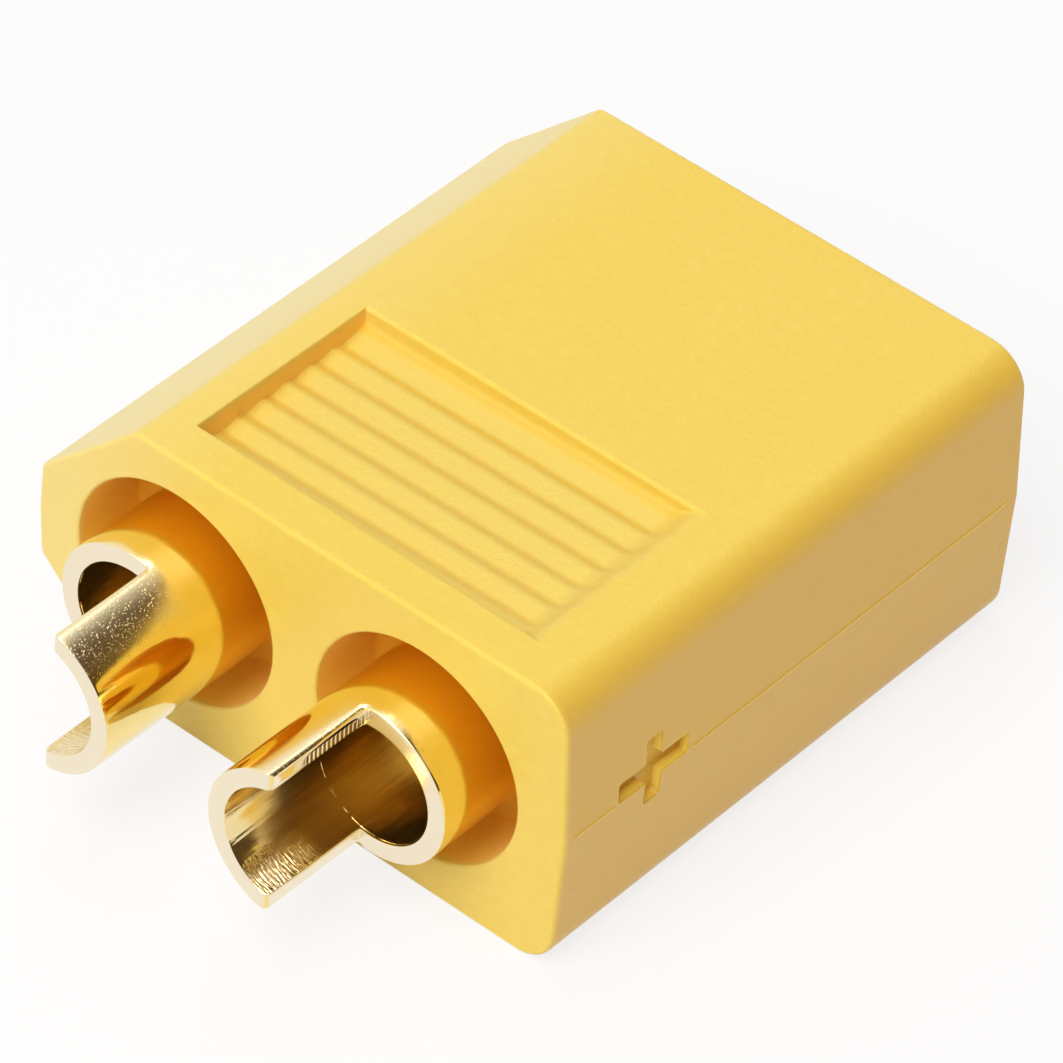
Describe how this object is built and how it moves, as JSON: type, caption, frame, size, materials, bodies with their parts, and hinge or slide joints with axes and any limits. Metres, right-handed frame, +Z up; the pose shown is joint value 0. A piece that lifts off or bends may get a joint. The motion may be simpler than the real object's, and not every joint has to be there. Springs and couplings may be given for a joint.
{
  "type": "battery power connector",
  "caption": "Shrouded two-pole power connector half: keyed moulded housing with ridged grip panels and gold-plated turned contacts with notched solder cups.",
  "frame": {"origin": "on the surface that the lying connector rests on, under the middle of its overall box", "axes": "+Y from the solder cups towards the mating mouth, +X from the keyed (chamfered) side towards the flat side, +Z up out of the broad face"},
  "size_m": [0.0158, 0.0204, 0.0081],
  "materials": {
    "housing_plastic": "fine matte moulded yellow nylon",
    "gold_plating": "bright gold plating over turned brass"
  },
  "bodies": {
    "root": {"housing": "housing_plastic", "contact_negative": "gold_plating", "contact_positive": "gold_plating"}
  },
  "joints": []
}
